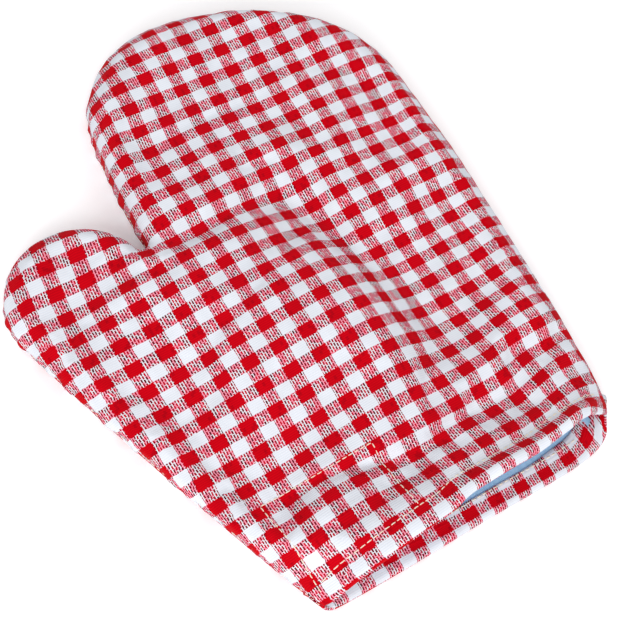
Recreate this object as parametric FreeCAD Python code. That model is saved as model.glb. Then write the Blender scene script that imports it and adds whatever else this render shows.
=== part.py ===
"""Padded oven mitt, lying palm down with its thumb to the left and its cuff a little open.

Two gingham shells, two wadding layers and two linings are cut to one plan outline and sewn
together round the edge.  The shells turn in over the cuff as a hem.  A patch of lining cloth
is stitched inside the back, beside the cuff.

Frame: +X right, +Y towards the fingertips, +Z up.  The origin is the middle of the mitt's
bounding box on the surface it lies on.  Lengths are in millimetres.
"""
import FreeCAD, Part
import functools
import math
import os

Vector = FreeCAD.Vector

# Plan outline: tangent arcs, each a centre and a radius on the seam line.
LENGTH = 293.0
TIP_Y = LENGTH / 2
CUFF_Y = -LENGTH / 2
CUFF_LEFT_X = -62.0
THUMB_CENTRE = (-83.0, 26.0)
THUMB_RADIUS = 33.5
THUMB_SIDE_RADIUS = 1260.0
HAND_LEFT_X = -46.5
HAND_LEFT_Y = 47.5
HAND_LEFT_RADIUS = 400.0
CROTCH_RADIUS = 2.5
TIP_X = 35.5
TIP_RADIUS = 121.0
SHOULDER_RADIUS = 56.0
HAND_RIGHT_X = 116.5
HAND_RIGHT_Y = 42.0
HAND_RIGHT_RADIUS = 1076.0
RUN_OUT_Y = CUFF_Y - 40.0          # the lofts run past the cuff and are cut back to it
SLAB_WIDTH = 400.0                 # cutting blocks, wider and taller than the mitt
SLAB_HEIGHT = 200.0
OVERCUT = 1.0                      # how far a cutting block passes the face it trims

# Layers, counted from the outside
SHELL = 0.8
WADDING = 4.2
LINING = 0.6
WADDING_FACE = SHELL
LINING_FACE = SHELL + WADDING
CAVITY_FACE = SHELL + WADDING + LINING
PATCH_FACE = CAVITY_FACE + LINING
SEAM_CLEARANCE = 1.1               # room for the side seam between the wadding's edges
END_SHRINK = 0.5                   # a layer's last ring moves in by this share of its depth

# Section through the padded edge: distance in from the seam line, height
SEAM_Z = 10.0
BACK_EDGE = [(0.0, SEAM_Z), (0.8, 13.5), (3.0, 17.5), (7.0, 21.5), (12.5, 25.5), (19.0, 30.0),
             (27.0, 35.0)]
PALM_EDGE = [(0.0, SEAM_Z), (0.8, 6.5), (3.0, 3.0), (7.0, 0.8), (12.0, 0.0)]
TOP_LIMIT = 45.0

# Height of the back over the hand, the thumb and the cuff
HAND_TOP = 26.0
CUFF_LIFT = 8.0
CUFF_LIFT_Y = -80.0                # the lift towards the cuff starts here
CUFF_LIFT_RUN = 66.0
THUMB_FALL = 3.0
THUMB_FALL_X = -35.0               # the fall towards the thumb starts here
THUMB_FALL_RUN = 45.0
THUMB_START_Y = -110.0             # and fades in from the cuff
THUMB_START_RUN = 60.0
SIDE_FALL = 4.0
SIDE_RUN = 90.0
FIELD_STEP = 20.0
FIELD_X = (-140.0, 140.0)
FIELD_Y = (-200.0, 180.0)

# Hem, stitching and patch
HEM_DEPTH = 12.0
HEM_STITCH = 10.0                  # topstitching, measured in from the cuff's edge
THREAD_RADIUS = 0.3
STITCH_PITCH = 3.0
STITCH_LENGTH = 2.5
STITCH_SHARE = 0.85                # the most of a gap that a stitch may fill
SEAM_STITCH_INSET = 1.35
HEM_STITCH_END = 1.0               # the topstitching stops this far inside the side seam
ABOVE_SEAM = 0.01                  # the needle's line starts just clear of the seam plane
PATCH_LEFT = (-64.0, -60.0)        # the stitched line's x at the patch's top and at the hem
PATCH_RIGHT = -8.0
PATCH_TOP_Y = -97.5
PATCH_MARGIN = 2.0


def smooth(t):
    """A step from 0 to 1 with level ends."""
    t = min(max(t, 0.0), 1.0)
    return t * t * (3.0 - 2.0 * t)


def back_height(x, y):
    """Height of the back's gently domed middle."""
    cuff = CUFF_LIFT * smooth((CUFF_LIFT_Y - y) / CUFF_LIFT_RUN)
    thumb = THUMB_FALL * smooth((THUMB_FALL_X - x) / THUMB_FALL_RUN)
    thumb *= smooth((y - THUMB_START_Y) / THUMB_START_RUN)
    side = SIDE_FALL * min(abs(x - TIP_X) / SIDE_RUN, 1.0) ** 2
    return HAND_TOP + cuff - thumb - side


# ---- Plan outline ---------------------------------------------------------------------

def circle_within(big_a, radius_a, big_b, radius_b, radius, side):
    """Centre of a circle that touches two larger circles from inside."""
    reach_a = radius_a - radius
    reach_b = radius_b - radius
    return circles_meet(big_a, reach_a, big_b, reach_b, side)


def circles_meet(centre_a, radius_a, centre_b, radius_b, side):
    """One of the two points where two circles cross."""
    dx = centre_b[0] - centre_a[0]
    dy = centre_b[1] - centre_a[1]
    gap = math.hypot(dx, dy)
    along = (radius_a ** 2 - radius_b ** 2 + gap ** 2) / (2 * gap)
    across = side * math.sqrt(radius_a ** 2 - along ** 2)
    x = centre_a[0] + (along * dx - across * dy) / gap
    y = centre_a[1] + (along * dy + across * dx) / gap
    return (x, y)


RIGHT_CENTRE = (HAND_RIGHT_X - HAND_RIGHT_RADIUS, HAND_RIGHT_Y)
TOP_CENTRE = (TIP_X, TIP_Y - TIP_RADIUS)
LEFT_CENTRE = (HAND_LEFT_X + HAND_LEFT_RADIUS, HAND_LEFT_Y)
RIGHT_SHOULDER = circle_within(TOP_CENTRE, TIP_RADIUS, RIGHT_CENTRE, HAND_RIGHT_RADIUS,
                               SHOULDER_RADIUS, -1)
LEFT_SHOULDER = circle_within(TOP_CENTRE, TIP_RADIUS, LEFT_CENTRE, HAND_LEFT_RADIUS,
                              SHOULDER_RADIUS, 1)
CROTCH_CENTRE = circles_meet(THUMB_CENTRE, THUMB_RADIUS + CROTCH_RADIUS,
                             LEFT_CENTRE, HAND_LEFT_RADIUS + CROTCH_RADIUS, 1)
THUMB_SIDE_CENTRE = circles_meet(THUMB_CENTRE, THUMB_SIDE_RADIUS - THUMB_RADIUS,
                                 (CUFF_LEFT_X, CUFF_Y), THUMB_SIDE_RADIUS, 1)

# Each arc: centre, radius, and +1 where the outline bulges out or -1 where it turns in
ARCS = [
    (RIGHT_CENTRE, HAND_RIGHT_RADIUS, 1),
    (RIGHT_SHOULDER, SHOULDER_RADIUS, 1),
    (TOP_CENTRE, TIP_RADIUS, 1),
    (LEFT_SHOULDER, SHOULDER_RADIUS, 1),
    (LEFT_CENTRE, HAND_LEFT_RADIUS, 1),
    (CROTCH_CENTRE, CROTCH_RADIUS, -1),
    (THUMB_CENTRE, THUMB_RADIUS, 1),
    (THUMB_SIDE_CENTRE, THUMB_SIDE_RADIUS, 1),
]


def touch_point(arc_a, arc_b, inset):
    """Point where two tangent arcs of the outline meet, moved in by the inset."""
    (ax, ay), radius_a, bulge_a = arc_a
    (bx, by), radius_b, bulge_b = arc_b
    apart = math.hypot(bx - ax, by - ay)
    towards = 1 if bulge_a != bulge_b or radius_a > radius_b else -1
    reach = (radius_a - bulge_a * inset) * towards / apart
    return (ax + (bx - ax) * reach, ay + (by - ay) * reach)


def side_at(arc, inset, y, side):
    """Point of one of the outline's long sides at a given y."""
    (cx, cy), radius, bulge = arc
    reach = radius - bulge * inset
    return (cx + side * math.sqrt(reach ** 2 - (y - cy) ** 2), y)


def arc_edge(arc, inset, start, end, z):
    """The part of an arc between two points, as an edge at height z."""
    (cx, cy), radius, bulge = arc
    reach = radius - bulge * inset
    mid_x = (start[0] + end[0]) / 2 - cx
    mid_y = (start[1] + end[1]) / 2 - cy
    scale = reach / math.hypot(mid_x, mid_y)
    middle = Vector(cx + mid_x * scale, cy + mid_y * scale, z)
    return Part.Arc(Vector(*start, z), middle, Vector(*end, z)).toShape()


def outline_points(inset, end_y):
    """The joints between the outline's arcs, from the cuff's right end to its left end."""
    points = [side_at(ARCS[0], inset, end_y, 1)]
    for arc_a, arc_b in zip(ARCS, ARCS[1:]):
        points.append(touch_point(arc_a, arc_b, inset))
    points.append(side_at(ARCS[-1], inset, end_y, -1))
    return points


def outline_wire(inset, z):
    """The closed outline at one inset and height, run out past the cuff."""
    points = outline_points(inset, RUN_OUT_Y)
    edges = []
    for arc, start, end in zip(ARCS, points, points[1:]):
        edges.append(arc_edge(arc, inset, start, end, z))
    edges.append(Part.makeLine(Vector(*points[-1], z), Vector(*points[0], z)))
    return Part.Wire(edges)


# ---- Layered bodies -------------------------------------------------------------------

def section_in(section, depth, seam_gap):
    """The edge's section moved in by a layer's depth, square to itself."""
    turn = 1 if section[-1][1] > section[0][1] else -1
    moved = []
    for index, (inset, z) in enumerate(section):
        before = section[max(index - 1, 0)]
        after = section[min(index + 1, len(section) - 1)]
        run = after[0] - before[0]
        rise = after[1] - before[1]
        size = math.hypot(run, rise)
        moved.append((inset + depth * abs(rise) / size, z - turn * depth * run / size))
    moved[0] = (depth + seam_gap, SEAM_Z)
    moved[-1] = (section[-1][0] + depth * END_SHRINK, section[-1][1] - turn * depth)
    return moved


def edge_loft(section, depth, seam_gap=0.0, cap_z=None):
    """A solid whose sides follow the padded edge at a layer's depth."""
    levels = section_in(section, depth, seam_gap)
    if cap_z is not None:
        levels.append((levels[-1][0], cap_z))
    wires = [outline_wire(inset, z) for inset, z in levels]
    return Part.makeLoft(wires, True, True)


def field_values(limits):
    """Evenly spaced values across a range."""
    count = round((limits[1] - limits[0]) / FIELD_STEP)
    return [limits[0] + FIELD_STEP * step for step in range(count + 1)]


def under_back(depth):
    """Everything below the back's domed surface at a layer's depth."""
    rows = []
    for x in field_values(FIELD_X):
        rows.append([Vector(x, y, back_height(x, y) - depth) for y in field_values(FIELD_Y)])
    surface = Part.BSplineSurface()
    surface.interpolate(rows)
    return surface.toShape().extrude(Vector(0, 0, -2 * TOP_LIMIT))


def y_slab(low_y, high_y):
    """A block right across the mitt between two y values."""
    corner = Vector(-SLAB_WIDTH / 2, low_y, -SLAB_HEIGHT / 2)
    return Part.makeBox(SLAB_WIDTH, high_y - low_y, SLAB_HEIGHT, corner)


BEHIND_CUFF = y_slab(CUFF_Y, CUFF_Y + SLAB_WIDTH)


@functools.lru_cache
def back_body(depth, seam_gap=0.0):
    """The back's half of the mitt inside a layer's depth, from the seam plane up."""
    sides = edge_loft(BACK_EDGE, depth, seam_gap, TOP_LIMIT)
    return sides.common(under_back(depth)).common(BEHIND_CUFF)


@functools.lru_cache
def palm_body(depth, seam_gap=0.0):
    """The palm's half of the mitt inside a layer's depth, from the seam plane down."""
    return edge_loft(PALM_EDGE, depth, seam_gap).common(BEHIND_CUFF)


def shell(body):
    """A shell, turned in over the cuff as a hem."""
    outside = body(0.0)
    wadding_face = body(WADDING_FACE)
    lining_face = body(LINING_FACE)
    cavity_face = body(CAVITY_FACE)
    front = wadding_face.cut(cavity_face).common(y_slab(CUFF_Y, CUFF_Y + SHELL))
    hem = lining_face.cut(cavity_face).common(y_slab(CUFF_Y, CUFF_Y + HEM_DEPTH))
    return outside.cut(wadding_face).fuse([front, hem]).removeSplitter()


def wadding(body):
    """A wadding layer, stopping short of the hem's fold."""
    layer = body(WADDING_FACE, SEAM_CLEARANCE).cut(body(LINING_FACE))
    return layer.cut(y_slab(CUFF_Y - OVERCUT, CUFF_Y + SHELL))


def lining(body):
    """A lining, from the hem's inner edge to the fingertips."""
    layer = body(LINING_FACE).cut(body(CAVITY_FACE))
    return layer.cut(y_slab(CUFF_Y - OVERCUT, CUFF_Y + HEM_DEPTH))


def cuff_patch():
    """A patch of lining cloth inside the back, under its stitched rectangle."""
    left = PATCH_LEFT[0] - PATCH_MARGIN
    right = PATCH_RIGHT + PATCH_MARGIN
    low_y = CUFF_Y + HEM_DEPTH
    high_y = PATCH_TOP_Y + PATCH_MARGIN
    corner = Vector(left, low_y, SEAM_Z)
    region = Part.makeBox(right - left, high_y - low_y, TOP_LIMIT, corner)
    return back_body(CAVITY_FACE).cut(back_body(PATCH_FACE)).common(region)


# ---- Stitching ------------------------------------------------------------------------

def spaced(start, end, pitch):
    """Points along a straight line, one pitch apart or a little less."""
    count = math.ceil(math.dist(start, end) / pitch)
    step_x = (end[0] - start[0]) / count
    step_y = (end[1] - start[1]) / count
    return [(start[0] + step_x * k, start[1] + step_y * k) for k in range(count + 1)]


def stitch(start, end):
    """One straight stitch between two needle holes."""
    run = end - start
    length = min(STITCH_LENGTH, run.Length * STITCH_SHARE)
    foot = start + run * (0.5 * (1 - length / run.Length))
    return Part.makeCylinder(THREAD_RADIUS, length, foot, run)


def stitch_line(holes):
    """Stitches between successive needle holes."""
    return [stitch(a, b) for a, b in zip(holes, holes[1:])]


def on_back(points, back):
    """The points lifted onto the back's outer face."""
    holes = []
    for x, y in points:
        line = Part.makeLine(Vector(x, y, SEAM_Z + ABOVE_SEAM), Vector(x, y, TOP_LIMIT))
        top = line.common(back).BoundBox.ZMax
        holes.append(Vector(x, y, top + THREAD_RADIUS))
    return holes


def back_hem_thread(back):
    """Topstitching across the back, parallel to the cuff."""
    y = CUFF_Y + HEM_STITCH
    inset = SEAM_STITCH_INSET + HEM_STITCH_END
    left = side_at(ARCS[-1], inset, y, -1)
    right = side_at(ARCS[0], inset, y, 1)
    return Part.Compound(stitch_line(on_back(spaced(left, right, STITCH_PITCH), back)))


def palm_hem_thread():
    """The same topstitching where it shows on the palm hem's inner face."""
    y = CUFF_Y + HEM_STITCH
    margin = PALM_EDGE[-1][0] + CAVITY_FACE
    left = side_at(ARCS[-1], margin, y, -1)
    right = side_at(ARCS[0], margin, y, 1)
    z = CAVITY_FACE + THREAD_RADIUS
    holes = [Vector(x, row_y, z) for x, row_y in spaced(left, right, STITCH_PITCH)]
    return Part.Compound(stitch_line(holes))


def patch_thread(back):
    """Three sides of the rectangle that holds the patch, open at the hem."""
    hem_y = CUFF_Y + HEM_STITCH
    corners = [
        (PATCH_LEFT[1], hem_y),
        (PATCH_LEFT[0], PATCH_TOP_Y),
        (PATCH_RIGHT, PATCH_TOP_Y),
        (PATCH_RIGHT, hem_y),
    ]
    stitches = []
    for start, end in zip(corners, corners[1:]):
        stitches += stitch_line(on_back(spaced(start, end, STITCH_PITCH), back))
    return Part.Compound(stitches)


def side_seam_thread():
    """The seam that joins back and palm, one stitch after another round the outline."""
    points = outline_points(SEAM_STITCH_INSET, CUFF_Y + SHELL)
    stitches = []
    for arc, start, end in zip(ARCS, points, points[1:]):
        edge = arc_edge(arc, SEAM_STITCH_INSET, start, end, SEAM_Z)
        count = max(2, math.ceil(edge.Length / STITCH_PITCH) + 1)
        stitches += stitch_line(edge.discretize(Number=count))
    return Part.Compound(stitches)


def main():
    """Build every node and write one STEP file for each."""
    back_outside = back_body(0.0)
    nodes = {
        "back_shell": shell(back_body),
        "palm_shell": shell(palm_body),
        "back_wadding": wadding(back_body),
        "palm_wadding": wadding(palm_body),
        "back_lining": lining(back_body),
        "palm_lining": lining(palm_body),
        "cuff_patch": cuff_patch(),
        "back_hem_thread": back_hem_thread(back_outside),
        "palm_hem_thread": palm_hem_thread(),
        "patch_thread": patch_thread(back_outside),
        "side_seam_thread": side_seam_thread(),
    }
    os.makedirs("parts", exist_ok=True)
    for name, shape in nodes.items():
        shape.exportStep("parts/" + name + ".step")
        box = shape.BoundBox
        print(name, "valid", shape.isValid(), "solids", len(shape.Solids),
              "volume", round(shape.Volume),
              "box", [round(v, 1) for v in (box.XMin, box.YMin, box.ZMin,
                                            box.XMax, box.YMax, box.ZMax)])


main()
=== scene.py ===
"""An oven mitt in red and white gingham, lying palm down with its cuff a little open.

The mitt's cloth, wadding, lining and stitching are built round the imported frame.  Lengths are
millimetres until a mesh is made.  x runs across the mitt and y from the cuff to the fingertips.
"""
import math

import bpy
import numpy as np
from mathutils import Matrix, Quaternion, Vector, noise
from mathutils.bvhtree import BVHTree
from mathutils.geometry import delaunay_2d_cdt


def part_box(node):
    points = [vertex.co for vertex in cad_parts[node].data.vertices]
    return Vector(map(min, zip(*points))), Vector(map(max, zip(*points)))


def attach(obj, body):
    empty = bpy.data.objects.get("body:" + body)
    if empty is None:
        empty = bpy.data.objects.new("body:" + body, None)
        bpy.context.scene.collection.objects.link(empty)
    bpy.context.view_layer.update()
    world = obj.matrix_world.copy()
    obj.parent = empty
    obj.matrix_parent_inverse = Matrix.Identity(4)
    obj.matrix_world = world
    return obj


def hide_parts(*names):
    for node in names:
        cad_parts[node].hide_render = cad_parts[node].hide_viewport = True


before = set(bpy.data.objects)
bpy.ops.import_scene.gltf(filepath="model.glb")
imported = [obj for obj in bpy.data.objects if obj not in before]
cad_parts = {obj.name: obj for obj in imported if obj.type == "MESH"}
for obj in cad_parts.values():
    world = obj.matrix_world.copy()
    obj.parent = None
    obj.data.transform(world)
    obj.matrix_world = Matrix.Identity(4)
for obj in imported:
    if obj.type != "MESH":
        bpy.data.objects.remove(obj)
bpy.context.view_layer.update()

MM = 0.001
BODY = "root"

# Plan outline: tangent arcs, each a centre and a radius on the seam line
TIP_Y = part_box("back_shell")[1][1] / MM
CUFF_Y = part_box("back_shell")[0][1] / MM
CUFF_LEFT_X = -58.5
THUMB_CENTRE = (-83.5, 26.0)
THUMB_RADIUS = 34.6
THUMB_SIDE_RADIUS = 2500.0
HAND_LEFT_X = -46.0
HAND_LEFT_Y = 47.5
HAND_LEFT_RADIUS = 400.0
CROTCH_RADIUS = 2.4
TIP_X = 13.5
TIP_STRETCH = 1.4                  # how far the cloth's fingertips pass the CAD's
TIP_RADIUS = 121.0
SHOULDER_RADIUS = 56.0
HAND_RIGHT_X = 116.5
HAND_RIGHT_Y = 42.0
HAND_RIGHT_RADIUS = 1076.0
CORNER_RADIUS = 17.0               # the cuff's right corner, drawn in by its seam
CORNER_Y = -128.5
CORNER_TURN = 25.0
SEAM_LEFT_Y = -144.5

# The cuff's edge on each side of the mouth, from the left end of the seam to its right end
BACK_LIP = [(-55, -145.6), (-36, -145.0), (-8, -142.0), (5, -141.2), (13, -138.1), (24, -138.0),
            (34, -137.7), (52, -137.3), (63, -135.4), (75, -134.1), (88, -133.4), (97, -132.6)]
PALM_LIP = [(-55, -147.4), (-38, -147.6), (-4, -147.2), (26, -146.0), (60, -146.0), (80, -145.4),
            (94, -142.6), (100.5, -138.0)]

# Section through the padded edge
SEAM_Z = 10.0
BACK_Z = 23.4
BACK_ROLL = 11.0                   # how far in from the seam the back levels out
TIP_ROLL = 17.0                    # the same, over the fingertips and the right side
CUFF_ROLL = 30.0                   # the same, beside the cuff
PALM_ROLL = 12.0
PALM_CUFF_ROLL = 18.0
ROLL_POWER = 2.2                   # how square the padded edge is
CUFF_POWER = 1.3
SEAM_DIP = 0.7                     # how far the seam is drawn in
SEAM_BULGE = 0.5                   # how far the cloth swells beside it

# Layers, counted from the outside
CLOTH = 0.5
WADDING_FACE = 0.7
WADDING = 3.3
LINING_FACE = 4.15
LINING = 0.4
PATCH_FACE = 4.8
HEM_THICK = 5.2                    # from the hem's outer face to its inner face
HEM_DEPTH = 12.0                   # from the cuff's edge to the hem's inner edge
PALM_HEM_DEPTH = 10.3
PALM_HEM_SPREAD = 1.6              # the palm's hem is this much deeper at its right end
PALM_SPREAD_X = 50.0               # where it starts to deepen, and over how much
PALM_SPREAD_RUN = 40.0
PALM_CORNER_SPREAD = 2.5           # and this much more in the mouth's right corner
PALM_CORNER_X = 80.0
PALM_CORNER_RUN = 9.0
WADDING_INSET = 1.5                # in from the side seam
LINING_INSET = 2.8
WADDING_START = 1.0                # in from the cuff's fold
LAP = 2.0                          # how far the lining runs under the hem's inner edge
CORNER_CLEAR = 13.0                # no wadding or lining in the pinched corners of the mouth
END_REACH = 10.0                   # how far the side seams' pull is felt along the hem
HEM_STITCH = 10.0                  # topstitching, measured in from the cuff's edge
THREAD_GROOVE = 0.9                # how far the stitching sinks into the palm

# Gingham: one red and one white stripe each way
REPEAT_X = 14.4
REPEAT_Y = 12.0
COLUMN_X = -8.0                    # the middle of a red stripe along the mitt
ROW_Y = -40.5                      # the middle of a red stripe across it
PALM_ROW_Y = -156.9

# Settling of the cloth
SLACK = 0.02                       # how much larger the cloth is than the wadding under it
PUFF = 0.2                         # the wadding's pressure against the cloth
SUPPORT = 0.06                     # how firmly the wadding holds the cloth in place
SEAM_FREE = 8.0                    # how far from the side seam the cloth is free to move
LIP_HOLD = 11.0                    # how far in from the cuff's edge it is held,
LIP_FREE = 12.0                    # and over how much more it is let go
SETTLE_FRAMES = 24
SETTLE_CAP = 4.0                   # the furthest that a point may move
CLOTH_FEEL = {
    "quality": 6,
    "mass": 0.05,
    "tension_stiffness": 12,
    "compression_stiffness": 12,
    "shear_stiffness": 3,
    "bending_stiffness": 0.02,
    "shrink_min": -SLACK,
    "shrink_max": -SLACK,
    "use_pressure": True,
    "uniform_pressure_force": PUFF,
    "vertex_group_mass": "grip",
    "pin_stiffness": 0.6,
}

# Laying the cloth flat
TURN_ROUNDS = 14                   # how often the triangles are turned to fit the flat cloth
SOLVE_STEPS = 80                   # the most steps for each solve

# Patch on the back's lining, and the line that its stitches follow
PATCH_LEFT_X = -66.0
PATCH_RIGHT_X = -6.0
PATCH_TOP_Y = -95.5
PATCH_STITCH_LINE = [(-57.0, -140.5), (-61.5, -97.5), (-8.0, -97.5), (-8.0, -131.5)]

# Stitches
THREAD_RADIUS = 0.27
STITCH_PITCH = 3.0
STITCH_SIDES = 6
STITCH_RINGS = 7
STITCH_BOW = 0.42                  # how high a stitch bows over its needle holes
STITCH_SINK = 0.22                 # how deep its ends go in
BACK_STITCH_ENDS = (2, -3)         # points of the cuff's edge where the hem's stitches end
PALM_STITCH_ENDS = (8, -8)

# Mesh spacing
EDGE_STEP = 2.6
GRID_STEP = 3.1
SEAM_RINGS = [0.7, 1.6, 2.9, 4.6, 6.6, 9.0, 12.0]
LIP_RINGS = [1.2, 2.6, 4.2, 5.8, 7.4, 9.0, 11.0, 13.5, 16.0]


# ---- Small helpers --------------------------------------------------------------------

def smooth(t):
    """A step from 0 to 1 with level ends."""
    t = np.clip(t, 0.0, 1.0)
    return t * t * (3.0 - 2.0 * t)


def bell(t):
    """A bump of height 1 at 0."""
    return np.exp(-0.5 * t * t)


def rounded(points, passes=3):
    """A smooth line past the points, by cutting corners."""
    line = np.array(points, float)
    for _ in range(passes):
        cut = np.empty((2 * (len(line) - 1), 2))
        cut[0::2] = 0.75 * line[:-1] + 0.25 * line[1:]
        cut[1::2] = 0.25 * line[:-1] + 0.75 * line[1:]
        line = np.vstack([line[:1], cut, line[-1:]])
    return line


def evenly(line, step):
    """The line's points moved to an even spacing."""
    run = np.concatenate([[0], np.cumsum(np.linalg.norm(np.diff(line, axis=0), axis=1))])
    count = max(2, int(round(run[-1] / step)) + 1)
    places = np.linspace(0, run[-1], count)
    return np.column_stack([np.interp(places, run, line[:, k]) for k in range(line.shape[1])])


def nearest(points, line):
    """Each point's distance to a line of points, the nearest place on it, and how far along."""
    start, step = line[:-1], np.diff(line, axis=0)
    size = np.linalg.norm(step, axis=1)
    begun = np.concatenate([[0], np.cumsum(size)])[:-1]
    gap = np.full(len(points), 1e9)
    place = np.zeros((len(points), 2))
    along = np.zeros(len(points))
    for k in range(len(step)):
        t = np.clip(((points - start[k]) @ step[k]) / size[k] ** 2, 0, 1)
        near = start[k] + t[:, None] * step[k]
        away = np.linalg.norm(points - near, axis=1)
        closer = away < gap
        gap[closer] = away[closer]
        place[closer] = near[closer]
        along[closer] = begun[k] + t[closer] * size[k]
    return gap, place, along


def inside(points, loop):
    """Which points lie inside a closed loop."""
    within = np.zeros(len(points), bool)
    x, y = points[:, 0], points[:, 1]
    for (ax, ay), (bx, by) in zip(loop, np.roll(loop, -1, axis=0)):
        if ay == by:
            continue
        crosses = (ay > y) != (by > y)
        within ^= crosses & (x < (bx - ax) * (y - ay) / (by - ay) + ax)
    return within


def wander(points, size, seed):
    """Gentle noise from -1 to 1 at each point, with bumps about as large as size."""
    return np.array([noise.noise(Vector((x / size, y / size, seed))) for x, y in points[:, :2]])


# ---- Plan outline ---------------------------------------------------------------------

def circles_meet(centre_a, radius_a, centre_b, radius_b, side):
    """One of the two points where two circles cross."""
    dx = centre_b[0] - centre_a[0]
    dy = centre_b[1] - centre_a[1]
    gap = math.hypot(dx, dy)
    along = (radius_a ** 2 - radius_b ** 2 + gap ** 2) / (2 * gap)
    across = side * math.sqrt(radius_a ** 2 - along ** 2)
    x = centre_a[0] + (along * dx - across * dy) / gap
    y = centre_a[1] + (along * dy + across * dx) / gap
    return (x, y)


def circle_within(centre_a, radius_a, centre_b, radius_b, radius, side):
    """Centre of a circle that touches two larger circles from inside."""
    return circles_meet(centre_a, radius_a - radius, centre_b, radius_b - radius, side)


RIGHT_CENTRE = (HAND_RIGHT_X - HAND_RIGHT_RADIUS, HAND_RIGHT_Y)
TOP_CENTRE = (TIP_X, TIP_Y + TIP_STRETCH - TIP_RADIUS)
LEFT_CENTRE = (HAND_LEFT_X + HAND_LEFT_RADIUS, HAND_LEFT_Y)
RIGHT_SHOULDER = circle_within(TOP_CENTRE, TIP_RADIUS, RIGHT_CENTRE, HAND_RIGHT_RADIUS,
                               SHOULDER_RADIUS, -1)
LEFT_SHOULDER = circle_within(TOP_CENTRE, TIP_RADIUS, LEFT_CENTRE, HAND_LEFT_RADIUS,
                              SHOULDER_RADIUS, 1)
CROTCH_CENTRE = circles_meet(THUMB_CENTRE, THUMB_RADIUS + CROTCH_RADIUS,
                             LEFT_CENTRE, HAND_LEFT_RADIUS + CROTCH_RADIUS, 1)
THUMB_SIDE_CENTRE = circles_meet(THUMB_CENTRE, THUMB_SIDE_RADIUS - THUMB_RADIUS,
                                 (CUFF_LEFT_X, CUFF_Y), THUMB_SIDE_RADIUS, 1)

# Each arc: centre, radius, and +1 where the outline bulges out or -1 where it turns in
ARCS = [
    (RIGHT_CENTRE, HAND_RIGHT_RADIUS, 1),
    (RIGHT_SHOULDER, SHOULDER_RADIUS, 1),
    (TOP_CENTRE, TIP_RADIUS, 1),
    (LEFT_SHOULDER, SHOULDER_RADIUS, 1),
    (LEFT_CENTRE, HAND_LEFT_RADIUS, 1),
    (CROTCH_CENTRE, CROTCH_RADIUS, -1),
    (THUMB_CENTRE, THUMB_RADIUS, 1),
    (THUMB_SIDE_CENTRE, THUMB_SIDE_RADIUS, 1),
]


def touch_point(arc_a, arc_b):
    """Point where two tangent arcs of the outline meet."""
    (ax, ay), radius_a, bulge_a = arc_a
    (bx, by), radius_b, bulge_b = arc_b
    towards = 1 if bulge_a != bulge_b or radius_a > radius_b else -1
    reach = radius_a * towards / math.hypot(bx - ax, by - ay)
    return (ax + (bx - ax) * reach, ay + (by - ay) * reach)


def side_at(arc, y, side):
    """Point of one of the outline's long sides at a given y."""
    (cx, cy), radius, _ = arc
    return (cx + side * math.sqrt(radius ** 2 - (y - cy) ** 2), y)


def arc_points(arc, start, end, step):
    """Points along an arc and their outward directions, without the last."""
    (cx, cy), radius, bulge = arc
    first = math.atan2(start[1] - cy, start[0] - cx)
    turn = (math.atan2(end[1] - cy, end[0] - cx) - first + math.pi) % (2 * math.pi) - math.pi
    if bulge > 0 and turn < 0:
        turn += 2 * math.pi
    count = max(3, int(math.ceil(abs(turn) * radius / step)))
    angles = first + turn * np.arange(count) / count
    outward = np.column_stack([np.cos(angles), np.sin(angles)])
    return np.array([cx, cy]) + radius * outward, bulge * outward


def seam_line(step):
    """The side seam in plan from the cuff's right end to its left, and its outward directions."""
    side = np.array(side_at(ARCS[0], CORNER_Y, 1))
    out = (side - ARCS[0][0]) / ARCS[0][1]
    corner = tuple(side - CORNER_RADIUS * out)
    turn = math.radians(CORNER_TURN)
    joints = [(corner[0] + CORNER_RADIUS * math.cos(turn), corner[1] - CORNER_RADIUS * math.sin(turn)),
              tuple(side)]
    joints += [touch_point(a, b) for a, b in zip(ARCS, ARCS[1:])]
    joints.append(side_at(ARCS[-1], SEAM_LEFT_Y, -1))
    points, outward = [], []
    for arc, start, end in zip([(corner, CORNER_RADIUS, 1), *ARCS], joints, joints[1:]):
        fine = min(step, arc[1] / 2)
        along, out = arc_points(arc, start, end, fine)
        points.append(along)
        outward.append(out)
    points.append(np.array([joints[-1]]))
    outward.append(outward[-1][-1:])
    return np.vstack(points), np.vstack(outward)


SEAM, SEAM_OUT = seam_line(EDGE_STEP)


def sideways(line):
    """Unit directions to the left of a line at each of its points."""
    along = np.gradient(line, axis=0)
    left = np.column_stack([-along[:, 1], along[:, 0]])
    return left / np.linalg.norm(left, axis=1)[:, None]


def lip_line(lip):
    """Where the cloth starts to turn over the cuff, from the seam's left end to its right end."""
    line = evenly(rounded([SEAM[-1], *lip, SEAM[0]]), EDGE_STEP)
    run = np.arange(len(line)) * EDGE_STEP
    inset = HEM_THICK / 2 * smooth(run / 14) * smooth(run[::-1] / 14)
    return evenly(line + sideways(line) * inset[:, None], EDGE_STEP)


# ---- Height of the back ---------------------------------------------------------------

def mound(x, y, centre, reach, height, power=2):
    """A soft bump or hollow."""
    across = np.abs((x - centre[0]) / reach[0]) ** power
    along = np.abs((y - centre[1]) / reach[1]) ** power
    return height * np.exp(-0.5 * (across + along))


def beside(x, y, points):
    """Signed distance to a smooth line, positive on its left, and a fade to 0 at its ends."""
    line = rounded(points)
    flat = np.column_stack([x, y])
    gap, place, along = nearest(flat, line)
    length = np.linalg.norm(np.diff(line, axis=0), axis=1).sum()
    step = line[-1] - line[0]
    offset = flat - place
    side = np.where(step[0] * offset[:, 1] - step[1] * offset[:, 0] > 0, gap, -gap)
    where = along / length
    return side, smooth(where / 0.2) * smooth((1 - where) / 0.2)


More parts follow.
